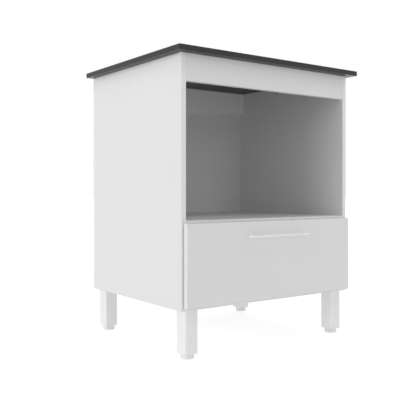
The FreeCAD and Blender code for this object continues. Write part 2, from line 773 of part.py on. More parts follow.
# Drawer runners: folded steel under the drawer sides, with a lip that rides on the front rollers
for name, side in SIDES:
    runner = new_body(f"drawer_runner_{name}")
    web, web_out = signed(side, box_out), signed(side, f"{box_out} + {steel}")
    flange_edge = signed(side, f"{box_out} - sizes.box_flange")
    lip_edge = signed(side, f"{box_out} + sizes.box_lip")
    pad(runner, "Y", f"{front_back} + sizes.runner_setback",
        f"{box_length} - sizes.runner_setback", 1, outline(
            (flange_edge, f"{box_low} - {steel}"), (web_out, f"{box_low} - {steel}"),
            (web_out, lip_low), (lip_edge, lip_low), (lip_edge, f"{lip_low} + {steel}"),
            (web, f"{lip_low} + {steel}"), (web, box_low), (flange_edge, box_low)))
    pocket(runner, "X", web, steel, side, *circles(
        box_screws, "sizes.screw_radius + sizes.screw_play"))
    pocket(runner, "X", web, steel, side,
           circle(box_roller_y, box_roller_z, "sizes.axle_radius + sizes.fitting_play"))

box_screw_body = new_body("drawer_runner_screws")
mirror(box_screw_body, *screws(box_screw_body, "X", f"{box_out} + {steel}", -1, box_screws,
                               steel, "sizes.small_screw_bite"))


def axles(label, wall, toward, y, z):
    """Riveted axles: a shank through the wall and roller, a shoulder and a low head."""
    body = new_body(label)
    out = f"({toward})"
    seat = f"{wall} + {out} * {steel}"
    head = f"{seat} + {out} * (sizes.axle_shoulder + sizes.roller_width - sizes.axle_head)"
    length = f"{steel} + sizes.axle_shoulder + sizes.roller_width"
    mirror(body,
           pad(body, "X", wall, length, toward, circle(y, z, "sizes.axle_radius")),
           pad(body, "X", seat, "sizes.axle_shoulder - sizes.axle_play", toward,
               circle(y, z, "sizes.axle_head_radius")),
           pad(body, "X", head, "sizes.axle_head", toward,
               circle(y, z, "sizes.axle_head_radius")))


def new_roller(label, side, wall, toward, y, z):
    """A nylon roller with a bore and a recess that hides the axle's head."""
    body = new_body(label)
    way = side * toward
    near = f"({signed(side, wall)} + ({way}) * ({steel} + sizes.axle_shoulder))"
    recess = "(sizes.axle_head + sizes.recess_play)"
    pad(body, "X", near, "sizes.roller_width", way, circle(y, z, "sizes.roller_radius"))
    round_edges(body, "sizes.roller_rounding", lambda edge, box: edge.Curve.TypeId == "Part::GeomCircle")
    pocket(body, "X", near, "sizes.roller_width", way,
           circle(y, z, "sizes.axle_radius + sizes.axle_play"))
    pocket(body, "X", f"{near} + ({way}) * (sizes.roller_width - {recess})", recess, way,
           circle(y, z, "sizes.axle_head_radius + sizes.recess_play"))


axles("cabinet_roller_axles", inner, -1, track_roller_y, track_roller_z)
axles("drawer_roller_axles", box_out, 1, box_roller_y, box_roller_z)
for name, side in SIDES:
    new_roller(f"cabinet_roller_{name}", side, inner, -1, track_roller_y, track_roller_z)
    new_roller(f"drawer_roller_{name}", side, box_out, 1, box_roller_y, box_roller_z)

# Drawer front: half over the edges of the sides, grooved for the drawer's floor
drawer_front = new_body("drawer_front")
groove = "(sizes.drawer_floor + sizes.groove_play)"
pad(drawer_front, "Y", front_face, "sizes.front_thickness", 1,
    rectangle(f"-{front_half}", front_low, f"2 * {front_half}", f"({front_top} - {front_low})"))
round_edges(drawer_front, "sizes.front_rounding", off_back)
floor_half = f"({box_in} + sizes.groove_depth)"
pocket(drawer_front, "Y", front_back, "sizes.groove_depth", -1,
       rectangle(f"-{floor_half}", groove_low, f"2 * {floor_half}", groove))
front_bolts = both_sides(*[(box_mid_x, z) for z in drawer_cam_z])
front_dowels = both_sides((box_mid_x, box_mid_z))
pocket(drawer_front, "Y", front_back, thread_depth, -1, *circles(front_bolts, thread_hole))
small_dowel_hole = "sizes.small_dowel_radius + sizes.fitting_play"
pocket(drawer_front, "Y", front_back, "sizes.dowel_in_side + sizes.fitting_play", -1,
       *circles(front_dowels, small_dowel_hole))
pocket(drawer_front, "Y", front_back, "sizes.front_thickness", -1,
       *circles(handle_holes, "sizes.handle_screw_radius + sizes.screw_play"))

# Drawer sides: thinner boards, grooved inside, on the runners
for name, side in SIDES:
    panel = new_body(f"drawer_side_{name}")
    outside, inside = signed(side, box_out), signed(side, box_in)
    middle = signed(side, box_mid_x)
    pad(panel, "X", outside, "sizes.drawer_board", -side,
        rectangle(front_back, box_low, box_length, f"({box_top} - {box_low})"))
    round_edges(panel, "sizes.board_rounding",
                lambda edge, box: edge.CenterOfMass.z > box.ZMax - 0.01 and along(edge, V(0, 1, 0)))
    pocket(panel, "X", inside, "sizes.groove_depth", side,
           rectangle(front_back, groove_low, box_length, groove))
    pocket(panel, "X", inside, "sizes.drawer_cam_depth", side,
           *circles([(drawer_cam_y, z) for z in drawer_cam_z], "sizes.cam_radius"))
    pocket(panel, "Y", front_back, "sizes.cam_from_end", 1,
           *circles([(middle, z) for z in drawer_cam_z], bolt_bore))
    pocket(panel, "Y", front_back, "sizes.dowel_in_board + sizes.fitting_play", 1,
           circle(middle, box_mid_z, small_dowel_hole))
    pocket(panel, "X", outside, "sizes.drawer_board", -side,
           *circles(long_screws, "sizes.long_screw_radius + sizes.screw_play"))
    pocket(panel, "X", outside, "sizes.long_screw_head", -side,
           *circles(long_screws, "sizes.long_screw_head_radius + sizes.fitting_play"))
    pocket(panel, "X", outside, "sizes.small_screw_bite + sizes.fitting_play", -side,
           *circles(box_screws, pilot))

# Drawer back: between the sides, standing on the floor's rear edge
drawer_back = new_body("drawer_back")
pad(drawer_back, "Y", box_end, "sizes.drawer_board", -1,
    rectangle(f"-{box_in}", drawer_back_low, f"2 * {box_in}", f"({box_top} - {drawer_back_low})"))
long_bite = "(sizes.long_screw_length - sizes.drawer_board)"
mirror(drawer_back, pocket(drawer_back, "X", box_in, f"{long_bite} + sizes.fitting_play", -1,
                           *circles(long_screws, "sizes.long_screw_radius + sizes.fitting_play")))
pocket(drawer_back, "Z", drawer_back_low, pilot_depth, 1, *circles(floor_screws, pilot))

# Drawer floor: a thin board slid into the grooves and screwed up into the back
drawer_bottom = new_body("drawer_bottom")
floor_front = f"({front_back} - sizes.groove_depth + sizes.groove_play)"
bottom_half = f"({floor_half} - sizes.groove_play)"
pad(drawer_bottom, "Z", groove_low, "sizes.drawer_floor", 1,
    rectangle(f"-{bottom_half}", floor_front, f"2 * {bottom_half}", f"({box_end} - {floor_front})"))
pocket(drawer_bottom, "Z", groove_low, "sizes.drawer_floor", 1,
       *circles(floor_screws, "sizes.screw_radius + sizes.screw_play"))

floor_screw_body = new_body("drawer_floor_screws")
screws(floor_screw_body, "Z", groove_low, 1, floor_screws, "sizes.drawer_floor")

long_screw_body = new_body("drawer_back_screws")
mirror(long_screw_body,
       pad(long_screw_body, "X", box_out, "sizes.long_screw_length", -1,
           *circles(long_screws, "sizes.long_screw_radius")),
       pad(long_screw_body, "X", box_out, "sizes.long_screw_head", -1,
           *circles(long_screws, "sizes.long_screw_head_radius")))

# Drawer fittings: cams in the sides, bolts and dowels into the front
drawer_cams = new_body("drawer_cams")
for name, side in SIDES:
    pad(drawer_cams, "X", signed(side, box_in), "sizes.drawer_cam_depth - sizes.cam_play", side,
        *circles([(drawer_cam_y, z) for z in drawer_cam_z], cam_body_radius))
cut_bolt_room(drawer_cams, "Y", f"{drawer_cam_y} + sizes.bolt_head_length / 2 + sizes.cam_play",
              "2 * sizes.cam_radius", -1, front_bolts)
for name, side in SIDES:
    cut_slots(drawer_cams, "X", signed(side, box_in), side, [(drawer_cam_y, z) for z in drawer_cam_z])

drawer_cam_bolts = new_body("drawer_cam_bolts")
bolts(drawer_cam_bolts, "Y", front_back, -1, front_bolts)

drawer_dowels = new_body("drawer_dowels")
pad(drawer_dowels, "Y", f"{front_back} - sizes.dowel_in_side",
    "sizes.dowel_in_side + sizes.dowel_in_board", 1,
    *circles(front_dowels, "sizes.small_dowel_radius"))

# Handle: a moulded bar whose ends sweep back, on two posts
handle = new_body("handle")


def swept_bar(sketch):
    """The bar from above: straight in the middle, with an arc to the back at each end."""
    face_y = f"({front_face} - sizes.handle_projection)"
    rear_y = f"({face_y} + sizes.bar_depth)"
    straight = "(sizes.handle_length / 2 - sizes.bend_length)"
    radius, thick, bend = sheet.bend_radius, sheet.bar_depth, sheet.bend_length
    start, end, middle = 1, 2, 3
    ends_x = value(straight)
    face_line = [V(side * ends_x, value(face_y), 0) for side in (-1, 1)]
    rear_line = [V(side * ends_x, value(rear_y), 0) for side in (1, -1)]
    face = sketch.addGeometry(Part.LineSegment(*face_line))
    rear = sketch.addGeometry(Part.LineSegment(*rear_line))
    for side in (-1, 1):
        joint, tip = (start, end) if side > 0 else (end, start)
        face_end, rear_end = (end, start) if side > 0 else (start, end)
        centre = V(side * ends_x, value(face_y) + radius, 0)
        turn = -math.pi / 2 + side * math.asin(bend / radius)
        span = sorted((-math.pi / 2, turn))
        tip_way = V(math.cos(turn), math.sin(turn), 0)
        outer, hollow = [sketch.addGeometry(Part.ArcOfCircle(Part.Circle(centre, V(0, 0, 1), r), *span))
                         for r in (radius, radius - thick)]
        cap = sketch.addGeometry(Part.LineSegment(centre + tip_way * radius,
                                                  centre + tip_way * (radius - thick)))
        for kind, ends in (("Coincident", (face, face_end, outer, joint)),
                           ("Coincident", (rear, rear_end, hollow, joint)),
                           ("Coincident", (outer, middle, hollow, middle)),
                           ("Coincident", (cap, end, hollow, tip)),
                           ("Perpendicular", (outer, tip, cap, start))):
            sketch.addConstraint(Sketcher.Constraint(kind, *ends))
        pin_point(sketch, face, face_end, f"{side} * {straight}", face_y)
        pin_point(sketch, rear, rear_end, f"{side} * {straight}", rear_y)
        pin_point(sketch, outer, middle, f"{side} * {straight}", f"{face_y} + sizes.bend_radius")
        dimension(sketch, "DistanceX", (-1, 1, outer, tip), f"{side} * sizes.handle_length / 2")


pad(handle, "Z", f"{handle_z} - sizes.bar_height / 2", "sizes.bar_height", 1, swept_bar)
round_edges(handle, "sizes.bar_rounding", lambda edge, box: True)
pad(handle, "Y", front_face, "sizes.handle_projection - sizes.bar_depth / 2", -1,
    *circles(handle_holes, "sizes.post_radius"))
pocket(handle, "Y", front_face, "sizes.handle_screw_bite + sizes.fitting_play", -1,
       *circles(handle_holes, "sizes.handle_screw_radius + sizes.fitting_play"))

handle_screws = new_body("handle_screws")
pad(handle_screws, "Y", front_back, "sizes.front_thickness + sizes.handle_screw_bite", -1,
    *circles(handle_holes, "sizes.handle_screw_radius"))
pad(handle_screws, "Y", front_back, "sizes.handle_screw_head", 1,
    *circles(handle_holes, "sizes.handle_screw_head_radius"))

# Bumpers: four small pads behind the drawer front that meet the edges of the sides
bumpers = new_body("drawer_bumpers")
bumper_x = f"(({inner} + {front_half}) / 2)"
bumper_z = [f"({front_low} + sizes.bumper_edge)", f"({front_top} - sizes.bumper_edge)"]
pad(bumpers, "Y", front_back, "sizes.bumper_thickness", 1,
    *circles(both_sides(*[(bumper_x, z) for z in bumper_z]), "sizes.bumper_radius"))

doc.recompute()
broken = [item.Name for item in doc.Objects if {"Invalid", "Error"} & set(item.State)]
if broken:
    raise RuntimeError(f"failed: {broken}")
for item in doc.Objects:
    if item.TypeId == "PartDesign::Pocket" and item.Shape.Volume >= item.BaseFeature.Shape.Volume:
        raise RuntimeError(f"{item.Name} cuts nothing")

os.makedirs("parts", exist_ok=True)
for body in bodies:
    shape = body.Shape
    if shape.isNull() or not shape.isValid() or not shape.Solids:
        raise RuntimeError(f"{body.Label} has no sound solid")
    shape.exportStep(f"parts/{body.Label}.step")
    low, high = shape.BoundBox.ZMin, shape.BoundBox.ZMax
    print(f"{body.Label}: {len(shape.Solids)} solids, {shape.Volume / 1000:.1f} cm3, "
          f"z {low:.1f} to {high:.1f}")
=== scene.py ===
# %% [markdown]
# # Dressing a cooktop base cabinet
#
# The cabinet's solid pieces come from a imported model. Each is already in its place, so nothing is
# moved here. This lesson gives every piece the surface it has in a real kitchen, and then lights
# and frames the whole. Lengths are in metres, and only the sizes of patterns in millimetres. X runs
# to the right, Y to the back and Z up, and the cabinet's front looks along -Y.

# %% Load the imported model
import math

import bpy
import numpy as np
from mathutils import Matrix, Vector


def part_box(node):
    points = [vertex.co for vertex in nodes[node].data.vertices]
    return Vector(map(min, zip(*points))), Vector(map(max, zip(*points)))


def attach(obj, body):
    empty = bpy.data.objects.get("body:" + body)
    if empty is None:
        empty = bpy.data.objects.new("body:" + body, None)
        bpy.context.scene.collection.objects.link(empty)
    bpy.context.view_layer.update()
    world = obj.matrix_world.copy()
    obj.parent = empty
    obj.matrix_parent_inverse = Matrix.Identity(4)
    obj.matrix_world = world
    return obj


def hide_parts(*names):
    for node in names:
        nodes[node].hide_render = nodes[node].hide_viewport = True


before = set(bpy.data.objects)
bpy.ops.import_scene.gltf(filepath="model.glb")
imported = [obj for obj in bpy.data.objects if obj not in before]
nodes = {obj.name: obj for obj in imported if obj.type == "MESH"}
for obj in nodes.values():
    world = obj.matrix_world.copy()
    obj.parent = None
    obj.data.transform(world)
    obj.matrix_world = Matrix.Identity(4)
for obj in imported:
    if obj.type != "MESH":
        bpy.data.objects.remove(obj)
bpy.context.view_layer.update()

# %% [markdown]
# ## Colours and nodes
#
# A colour written as #RRGGBB is an sRGB value, but a shader works with linear light. One function
# turns the first into the second, so that every colour below can be read as it looks.

# %% Colours and sizes
def linear(code):
    """Linear red, green, blue and alpha of a colour written as #RRGGBB. Each part is its sRGB value
    to the 2.4th power, with the standard's straight stretch near black."""
    parts = np.array([int(code[i : i + 2], 16) for i in (1, 3, 5)]) / 255
    light = np.where(parts <= 0.04045, parts / 12.92, ((parts + 0.055) / 1.055) ** 2.4)
    return (*light.tolist(), 1.0)


def per_metre(millimetres):
    """How often a pattern of this size in millimetres repeats in a metre, which is a texture's
    scale."""
    return 1000 / millimetres


print("white is", linear("#FFFFFF"), "and middle grey starts with", round(linear("#808080")[0], 3))

# %% [markdown]
# A material is only a few nodes and the links between them, and one small function adds them all. A
# Mix node has inputs and an output of its own for each kind of thing: numbers go in at 2 and 3 and
# come out at 0, vectors go in at 4 and 5 and come out at 1, and colours go in at 6 and 7 and come
# out at 2.

# %% One function for every node
def add(material, kind, sockets=None, **options):
    """Adds a shader node of this kind. Sockets are its inputs by name or number, and each takes a
    plain value, another node's output, or a node, which stands for its first output. Options are
    the node's own settings."""
    new = material.node_tree.nodes.new("ShaderNode" + kind)
    for name, setting in options.items():
        setattr(new, name, setting)
    for key, given in (sockets or {}).items():
        if isinstance(given, bpy.types.Node):
            given = given.outputs[0]
        if isinstance(given, bpy.types.NodeSocket):
            material.node_tree.links.new(given, new.inputs[key])
        else:
            new.inputs[key].default_value = given
    return new


# %% Materials from start to end
def blank(name):
    """A new material without nodes, and the coordinates that place its patterns."""
    material = bpy.data.materials.new(name)
    material.use_nodes = True
    material.node_tree.nodes.clear()
    return material, add(material, "TexCoord").outputs


def finish_with(material, shader):
    """Ends a material with a shader."""
    add(material, "OutputMaterial", {"Surface": shader})
    return material


def wear(names, material):
    """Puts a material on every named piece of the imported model."""
    for name in names:
        for place in nodes[name].material_slots:
            place.material = material
    print(material.name, "on", len(names), "pieces")


def both(name):
    """A piece's name on the left and on the right."""
    return [name + "_left", name + "_right"]


# %% [markdown]
# ## White melamine board
#
# The carcass is particle board with a sheet of white melamine pressed on both faces. The press
# plate leaves a fine satin grain, and the resin reflects like a hard plastic. Each edge carries a
# tape of white plastic, 0.4 mm thick, that is a little brighter and smoother than the faces and
# ends in a hairline seam. Behind, where the back panel is nailed on, the maker saves the tape, and
# the pressed wood chips show.
#
# Painting this by hand would need a map for each board. Here the shader works it out instead: a
# board's box says how far a point is from the border, and the surface's own direction says whether
# it is a face or an edge.

# %% Where a board has tape and seams
TAPE = 0.0004
SEAM = 0.0005
EDGE_COSINE = 0.6  # an edge is where the surface looks less than this along the thickness


def masks_of_board(material, place, name):
    """Two masks for one board, each 0 or 1. Edge: the surface doesn't look along the board's
    thickness. Seam: on a face, the distance to the border, half the size minus the distance from
    the middle, is about the tape's thickness."""
    low, high = (np.array(corner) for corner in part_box(name))
    middle, half = (low + high) / 2, (high - low) / 2
    thin = int(np.argmin(half))
    through = [float(axis == thin) for axis in range(3)]
    first, second = (axis for axis in range(3) if axis != thin)
    turned = add(material, "VectorMath", {0: place["Normal"]}, operation="ABSOLUTE")
    facing = add(material, "VectorMath", {0: turned, 1: through}, operation="DOT_PRODUCT")
    edge = add(material, "Math", {0: facing.outputs["Value"], 1: EDGE_COSINE},
               operation="LESS_THAN")
    offset = add(material, "VectorMath", {0: place["Object"], 1: middle.tolist()},
                 operation="SUBTRACT")
    out = add(material, "VectorMath", {0: offset}, operation="ABSOLUTE")
    inward = add(material, "VectorMath", {0: half.tolist(), 1: out}, operation="SUBTRACT")
    parts = add(material, "SeparateXYZ", {0: inward}).outputs
    border = add(material, "Math", {0: parts[first], 1: parts[second]}, operation="MINIMUM")
    near = add(material, "Math", {0: border, 1: TAPE + SEAM / 2, 2: SEAM / 2}, operation="COMPARE")
    face = add(material, "Math", {0: 1.0, 1: edge}, operation="SUBTRACT")
    seam = add(material, "Math", {0: near, 1: face}, operation="MULTIPLY")
    return edge, seam


# %% [markdown]
# ### Where the chips show
#
# Particle board is chips of wood, 1 to 4 mm long, glued and pressed. A Voronoi texture gives such
# cells with a tone of their own. They are flattened, because the press lays the chips down.

# %% Bare particle board
CHIP = 2.6
CHIP_LAID = (1.0, 1.0, 0.45)
CHIP_ROUGH = 0.85


def side_that_looks(material, place, direction, least):
    """A mask that is 1 where the surface looks along a direction, which is where the cosine of the
    angle between them is above least, and 0 elsewhere."""
    facing = add(material, "VectorMath", {0: place["Normal"], 1: direction},
                 operation="DOT_PRODUCT")
    return add(material, "Math", {0: facing.outputs["Value"], 1: least}, operation="GREATER_THAN")


def bare_chips(material, place, raw, colour, rough, relief):
    """Lays bare particle board over a finish where the surface looks along the direction raw."""
    bare = side_that_looks(material, place, raw, least=0.8)
    laid = add(material, "Mapping", {"Vector": place["Object"], "Scale": CHIP_LAID})
    chips = add(material, "TexVoronoi", {"Vector": laid, "Scale": per_metre(CHIP)})
    grey = add(material, "RGBToBW", {0: chips.outputs["Color"]})
    tones = add(material, "ValToRGB", {0: grey})
    ramp = tones.color_ramp.elements
    ramp[0].color, ramp[1].color = linear("#7A5836"), linear("#D2B083")
    ramp.new(0.5).color = linear("#AD8658")
    pits = add(material, "Bump", {"Strength": 0.5, "Distance": 0.0004,
                                  "Height": chips.outputs["Distance"], "Normal": relief})
    all_tones = add(material, "Mix", {0: bare, 6: colour, 7: tones}, data_type="RGBA")
    all_rough = add(material, "Mix", {0: bare, 2: rough, 3: CHIP_ROUGH})
    all_relief = add(material, "Mix", {0: bare, 4: relief, 5: pits}, data_type="VECTOR")
    return all_tones.outputs[2], all_rough, all_relief.outputs[1]


# %% The finish of a board
PRESS_GRAIN = 2.4  # really about 0.5 mm, drawn coarser so that it shows
SHEET_CLOUDS = 160
SEAM_TONE = "#8C8B89"
SEAM_SHARE = 0.35
SMOOTHER_TAPE = 0.05
RESIN_IOR = 1.52


def melamine(name, sheet, shade, tape, dull, raw=None):
    """A board's finish. Sheet and shade are the two tones that drift over its faces, tape is the
    tone of its edges, and dull its mean roughness. Raw is the direction in which an edge has no
    tape."""
    material, place = blank(f"melamine_{name}")
    edge, seam = masks_of_board(material, place, name)
    clouds = add(material, "TexNoise",
                 {"Vector": place["Object"], "Scale": per_metre(SHEET_CLOUDS), "Detail": 3.0})
    grain = add(material, "TexNoise", {"Vector": place["Object"], "Scale": per_metre(PRESS_GRAIN),
                                       "Detail": 4.0, "Roughness": 0.6})
    tone = add(material, "Mix", {0: clouds, 6: linear(shade), 7: linear(sheet)}, data_type="RGBA")
    taped = add(material, "Mix", {0: edge, 6: tone.outputs[2], 7: linear(tape)}, data_type="RGBA")
    glue = add(material, "Math", {0: seam, 1: SEAM_SHARE}, operation="MULTIPLY")
    seamed = add(material, "Mix", {0: glue, 6: taped.outputs[2], 7: linear(SEAM_TONE)},
                 data_type="RGBA")
    satin = add(material, "MapRange",
                {"Value": grain, "To Min": dull - 0.05, "To Max": dull + 0.06})
    rough = add(material, "Math", {0: edge, 1: -SMOOTHER_TAPE, 2: satin}, operation="MULTIPLY_ADD")
    relief = add(material, "Bump", {"Strength": 0.25, "Distance": 0.0002, "Height": grain})
    colour = seamed.outputs[2]
    if raw:
        colour, rough, relief = bare_chips(material, place, raw, colour, rough, relief)
    shader = add(material, "BsdfPrincipled", {"Base Color": colour, "Roughness": rough,
                                              "Normal": relief, "IOR": RESIN_IOR})
    return finish_with(material, shader)


# %% Boards of the carcass, drawer front and drawer box
BACKWARD = (0.0, 1.0, 0.0)
CARCASS = {"sheet": "#E9E9E9", "shade": "#E5E5E5", "tape": "#EDEDED", "dull": 0.40}
FRONT = {"sheet": "#EAEAEA", "shade": "#E6E6E6", "tape": "#EBEBEB", "dull": 0.34}
BOX = {"sheet": "#E6E6E6", "shade": "#E2E2E2", "tape": "#E4E4E4", "dull": 0.46}

for name in both("side_panel"):
    wear([name], melamine(name, **CARCASS, raw=BACKWARD))
for name in ("base_panel", "niche_shelf", "front_rail", "back_rail"):
    wear([name], melamine(name, **CARCASS))
wear(["drawer_front"], melamine("drawer_front", **FRONT))
for name in (*both("drawer_side"), "drawer_back"):
    wear([name], melamine(name, **BOX))

# %% [markdown]
# ## Graphite laminate
#
# The worktop is the same kind of board under a dark decor paper with a fine stone texture, as
# cooktop cabinets have, with an edge tape of the same colour all round. What makes it read as
# graphite and not as black paint is the sheen on its grain, so the roughness and the relief matter
# more here than the colour.

# %% The worktop
STONE_GRAIN = 1.6  # really about 0.3 mm, drawn coarser so that it shows
STONE_SPECK = 5.0
STONE_IOR = 1.38


def graphite(name):
    """Dark grey with a slightly paler speck that is also duller, and a pebbled relief."""
    material, place = blank("graphite_laminate")
    seam = masks_of_board(material, place, name)[1]
    specks = add(material, "TexNoise", {"Vector": place["Object"], "Scale": per_metre(STONE_SPECK),
                                        "Detail": 6.0, "Roughness": 0.75})
    pebbles = add(material, "TexVoronoi",
                  {"Vector": place["Object"], "Scale": per_metre(STONE_GRAIN)})
    tones = add(material, "ValToRGB", {0: specks})
    ramp = tones.color_ramp.elements
    ramp[0].position, ramp[0].color = 0.38, linear("#18191A")
    ramp[1].position, ramp[1].color = 0.70, linear("#37383B")
    seamed = add(material, "Mix", {0: seam, 6: tones, 7: linear("#1C1C1D")}, data_type="RGBA")
    satin = add(material, "MapRange", {"Value": specks, "To Min": 0.30, "To Max": 0.46})
    relief = add(material, "Bump", {"Strength": 0.3, "Distance": 0.0002,
                                    "Height": pebbles.outputs["Distance"]})
    shader = add(material, "BsdfPrincipled", {"Base Color": seamed.outputs[2], "Roughness": satin,
                                              "Normal": relief, "IOR": STONE_IOR})
    return finish_with(material, shader)


wear(["worktop"], graphite("worktop"))

# %% [markdown]
# ## Hardboard
#
# The back panel and the drawer's floor are 3 mm hardboard. One side is painted white and faces the
# room, and the other is left brown, with the felted fibres of the wood showing. The surface's own
# direction picks the side. The white is greyer than the boards' melamine, partly as hardboard paint
# is and partly as painted shade that darkens the back of the niche.

# %% Painted on one side, brown on the other
FIBRE = 3.0  # really about 1 mm, drawn coarser so that it shows
FIBRE_CLOUDS = 130
FIBRE_SHARE, CLOUD_SHARE = 0.85, 0.18
FIBRE_ROUGH, PAINT_ROUGH = 0.72, 0.5


def hardboard(name, room):
    """Greyish white paint where the surface looks along the direction room, and pressed brown fibre
    elsewhere. The paint's grey is partly its own and partly painted shade for the niche's back."""
    material, place = blank(f"hardboard_{name}")
    painted = side_that_looks(material, place, room, least=0.5)
    felt = add(material, "TexNoise", {"Vector": place["Object"], "Scale": per_metre(FIBRE),
                                      "Detail": 8.0, "Distortion": 1.5})
    clouds = add(material, "TexNoise",
                 {"Vector": place["Object"], "Scale": per_metre(FIBRE_CLOUDS), "Detail": 2.0})
    fibres = add(material, "Math", {0: felt, 1: FIBRE_SHARE}, operation="MULTIPLY")
    summed = add(material, "Math", {0: clouds, 1: CLOUD_SHARE, 2: fibres},
                 operation="MULTIPLY_ADD")
    brown = add(material, "ValToRGB", {0: summed})
    ramp = brown.color_ramp.elements
    ramp[0].position, ramp[0].color = 0.30, linear("#6B4A2D")
    ramp[1].position, ramp[1].color = 0.78, linear("#B08D62")
    ramp.new(0.55).color = linear("#8F6C46")
    # A greyer white than the boards': partly real hardboard paint, partly painted shade that
    # darkens the niche's back.
    white = add(material, "Mix", {0: clouds, 6: linear("#D4D4D4"), 7: linear("#DADADA")},
                data_type="RGBA")
    colour = add(material, "Mix", {0: painted, 6: brown, 7: white.outputs[2]}, data_type="RGBA")
    rough = add(material, "Mix", {0: painted, 2: FIBRE_ROUGH, 3: PAINT_ROUGH})
    relief = add(material, "Bump", {"Strength": 0.3, "Distance": 0.0002, "Height": felt})
    shader = add(material, "BsdfPrincipled",
                 {"Base Color": colour.outputs[2], "Roughness": rough, "Normal": relief})
    return finish_with(material, shader)


wear(["back_panel"], hardboard("back_panel", (0.0, -1.0, 0.0)))
wear(["drawer_bottom"], hardboard("drawer_bottom", (0.0, 0.0, 1.0)))

# %% [markdown]
# ## The handle's shape
#
# The real handle is one moulding: an oval bar whose two ends sweep back towards the drawer, on two
# posts that swell where they stand on the drawer front and where they run into the bar. Boxes with
# bevels would give the bar, but not the swelling. So each is worked out as a surface instead: a
# ring of points travels along a path and changes its size on the way, and faces join every ring to
# the next.

# %% Faces between rings of points
def bands(rows, columns):
    """Four corners for each face between neighbouring rings, where point number is row times
    columns plus column."""
    row, column = np.meshgrid(np.arange(rows - 1), np.arange(columns), indexing="ij")
    after = (column + 1) % columns
    this, following = row * columns, (row + 1) * columns
    corners = [this + column, this + after, following + after, following + column]
    return np.stack(corners, -1).reshape(-1, 4)


def closed_shell(rings):
    """Points and faces of rings, with one flat face over the first ring and one over the last."""
    rows, columns = rings.shape[:2]
    first = np.arange(columns)[::-1]
    last = np.arange(columns) + (rows - 1) * columns
    return rings.reshape(-1, 3), [*bands(rows, columns).tolist(), first.tolist(), last.tolist()]


# %% The bar
BAR_DEPTH = 0.007
BAR_OVAL = 2.3  # the power of its outline, where 2 is an ellipse and more is boxier
BAR_STRAIGHT = 0.0945  # from the middle to where an end starts to sweep back
SWEEP_RADIUS = 0.0665
TIP = 0.0035
STRAIGHT_RINGS, SWEPT_RINGS, TIP_RINGS = 12, 14, 12
TIP_ANGLE = 0.49 * math.pi  # just short of the pole, so that the last ring keeps a size
AROUND = np.linspace(0, 2 * math.pi, 40, endpoint=False)


def handle_bar(low, high):
    """Rings along the bar. Its middle line runs along X and then on a circle to the back, at an
    angle of the distance past the straight part over the circle's radius. A ring's outline is
    |a|^n + |b|^n = 1, and towards a tip it shrinks as a ball's slices do, with the root of 1 - t
    squared. Every ring turns right-handed about the way that the rings travel, which makes the
    faces look outwards."""
    swept = math.asin((high[0] - BAR_STRAIGHT) / SWEEP_RADIUS)
    reach = BAR_STRAIGHT + SWEEP_RADIUS * swept
    half = np.concatenate([np.linspace(0, BAR_STRAIGHT, STRAIGHT_RINGS)[:-1],
                           np.linspace(BAR_STRAIGHT, reach - TIP, SWEPT_RINGS)[:-1],
                           reach - TIP + TIP * np.sin(np.linspace(0, TIP_ANGLE, TIP_RINGS))])
    along = np.concatenate([-half[:0:-1], half])[:, None]
    past = np.clip(np.abs(along) - BAR_STRAIGHT, 0, None) / SWEEP_RADIUS
    near_tip = np.clip((np.abs(along) - reach) / TIP + 1, 0, 1)
    shrink = np.sqrt(1 - near_tip**2)
    across, up = np.cos(AROUND), -np.sin(AROUND)
    across = np.sign(across) * np.abs(across) ** (2 / BAR_OVAL) * BAR_DEPTH / 2 * shrink
    up = np.sign(up) * np.abs(up) ** (2 / BAR_OVAL) * (high[2] - low[2]) / 2 * shrink
    turn = SWEEP_RADIUS + across
    x = np.sign(along) * (np.minimum(np.abs(along), BAR_STRAIGHT) + turn * np.sin(past))
    y = low[1] + BAR_DEPTH / 2 + SWEEP_RADIUS - turn * np.cos(past)
    z = (low[2] + high[2]) / 2 + up
    return np.stack([x, y, z], -1)


# %% The posts
POST_PLACE = 0.096
POST_RADIUS = 0.0038
FOOT_FLARE, FOOT_FALL = 0.0012, 0.0009  # how much it widens there, and how soon that falls off
NECK_FLARE, NECK_FALL = 0.0045, 0.0028
NECK_THINNER = 0.06  # the share of the neck's widening that the post loses along Z
FOOT_PART = 0.004  # the first stretch, where the rings stand closest
FOOT_RINGS, SHAFT_RINGS = 10, 24


def handle_post(side, low, high):
    """Rings from the drawer front to the bar's middle. A ring's radius is the post's own, plus a
    part that falls off as e to the minus distance from the drawer front, plus another, along X
    only, that falls off from the bar."""
    length = high[1] - low[1] - BAR_DEPTH / 2
    out = np.concatenate([np.linspace(0, FOOT_PART, FOOT_RINGS)[:-1],
                          np.linspace(FOOT_PART, length, SHAFT_RINGS)])[:, None]
    foot = FOOT_FLARE * np.exp(-out / FOOT_FALL)
    neck = NECK_FLARE * np.exp(-np.clip(length - BAR_DEPTH / 2 - out, 0, None) / NECK_FALL)
    x = side * POST_PLACE + (POST_RADIUS + foot + neck) * np.cos(AROUND)
    z = (low[2] + high[2]) / 2 + (POST_RADIUS + foot - NECK_THINNER * neck) * np.sin(AROUND)
    return np.stack([x, high[1] - out + 0 * AROUND, z], -1)


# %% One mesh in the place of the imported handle
def moulding(name, shells):
    """One mesh from several closed shells. Their sides are smooth, and their end faces flat."""
    points, faces, smooth = [], [], []
    for rings in shells:
        start = sum(map(len, points))
        more, joined = closed_shell(rings)
        points.append(more)
        faces += [[start + corner for corner in face] for face in joined]
        smooth += [True] * (len(joined) - 2) + [False] * 2
    mesh = bpy.data.meshes.new(name)
    mesh.from_pydata(np.concatenate(points).tolist(), [], faces)
    mesh.polygons.foreach_set("use_smooth", smooth)
    return mesh


def put(name, data):
    """A new object with this data, linked into the scene."""
    thing = bpy.data.objects.new(name, data)
    bpy.context.scene.collection.objects.link(thing)
    return thing


